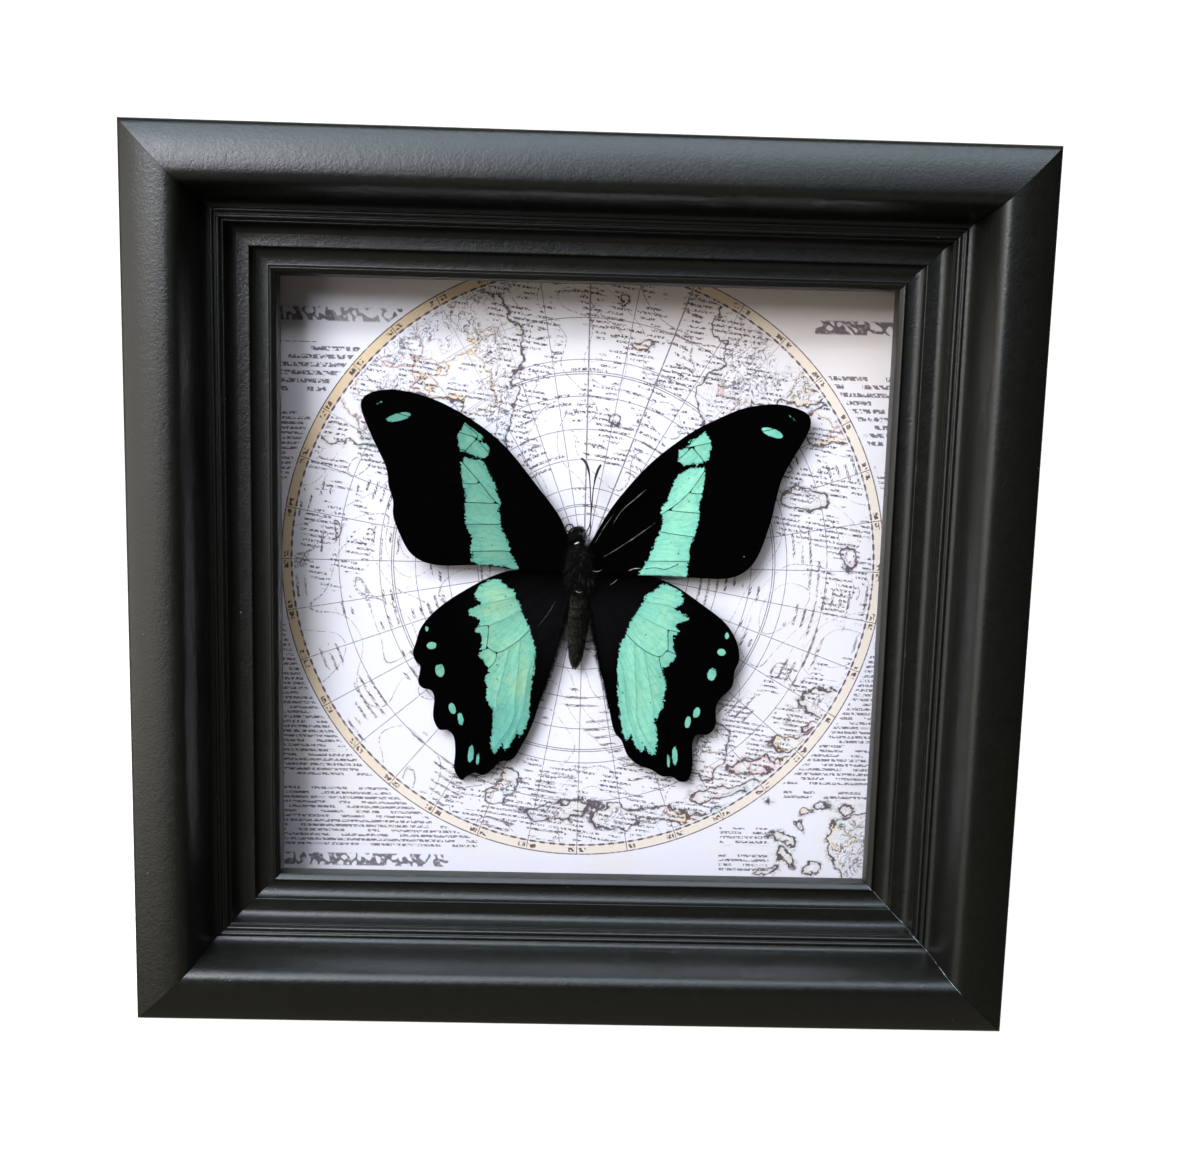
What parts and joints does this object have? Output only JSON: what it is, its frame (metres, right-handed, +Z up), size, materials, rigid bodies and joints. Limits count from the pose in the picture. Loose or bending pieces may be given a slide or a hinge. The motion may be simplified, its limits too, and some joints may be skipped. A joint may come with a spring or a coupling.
{
  "type": "framed butterfly specimen",
  "caption": "Spread dark butterfly with pale green bands over an old-style printed chart, behind glass in a deep square black frame that stands or hangs.",
  "frame": {"origin": "centre of the frame's lowest edge: middle of its width and of its depth, hanger included", "axes": "+Z up along the frame's height, -Y out of the front through the glass, +X to the right as seen from the front"},
  "size_m": [0.17, 0.0354, 0.17],
  "materials": {
    "black_paint": "satin black paint on wood, with fine orange peel and dust specks",
    "clear_glass": "clear picture glass with polished faces",
    "black_foam": "matte black foam strip",
    "printed_paper": "matte paper with fine dark purple line printing",
    "mount_board": "pale matte board",
    "hardboard": "brown hardboard",
    "steel": "zinc-plated sheet steel",
    "brass": "brass-plated nail heads",
    "wing_scales": "matte black scales with pale green bands and spots",
    "body_fur": "black-brown fur"
  },
  "bodies": {
    "root": {"rail_top": "black_paint", "rail_bottom": "black_paint", "rail_left": "black_paint", "rail_right": "black_paint", "glass_pane": "clear_glass", "spacer_top": "black_foam", "spacer_bottom": "black_foam", "spacer_left": "black_foam", "spacer_right": "black_foam", "printed_sheet": "printed_paper", "mount_board": "mount_board", "backing_board": "hardboard", "framers_point_top": "steel", "framers_point_bottom": "steel", "framers_point_left": "steel", "framers_point_right": "steel", "sawtooth_hanger": "steel", "hanger_nail_left": "brass", "hanger_nail_right": "brass", "butterfly_body": "body_fur", "forewing_left": "wing_scales", "forewing_right": "wing_scales", "hindwing_left": "wing_scales", "hindwing_right": "wing_scales", "antenna_left": "body_fur", "antenna_right": "body_fur", "proboscis": "body_fur"}
  },
  "joints": []
}
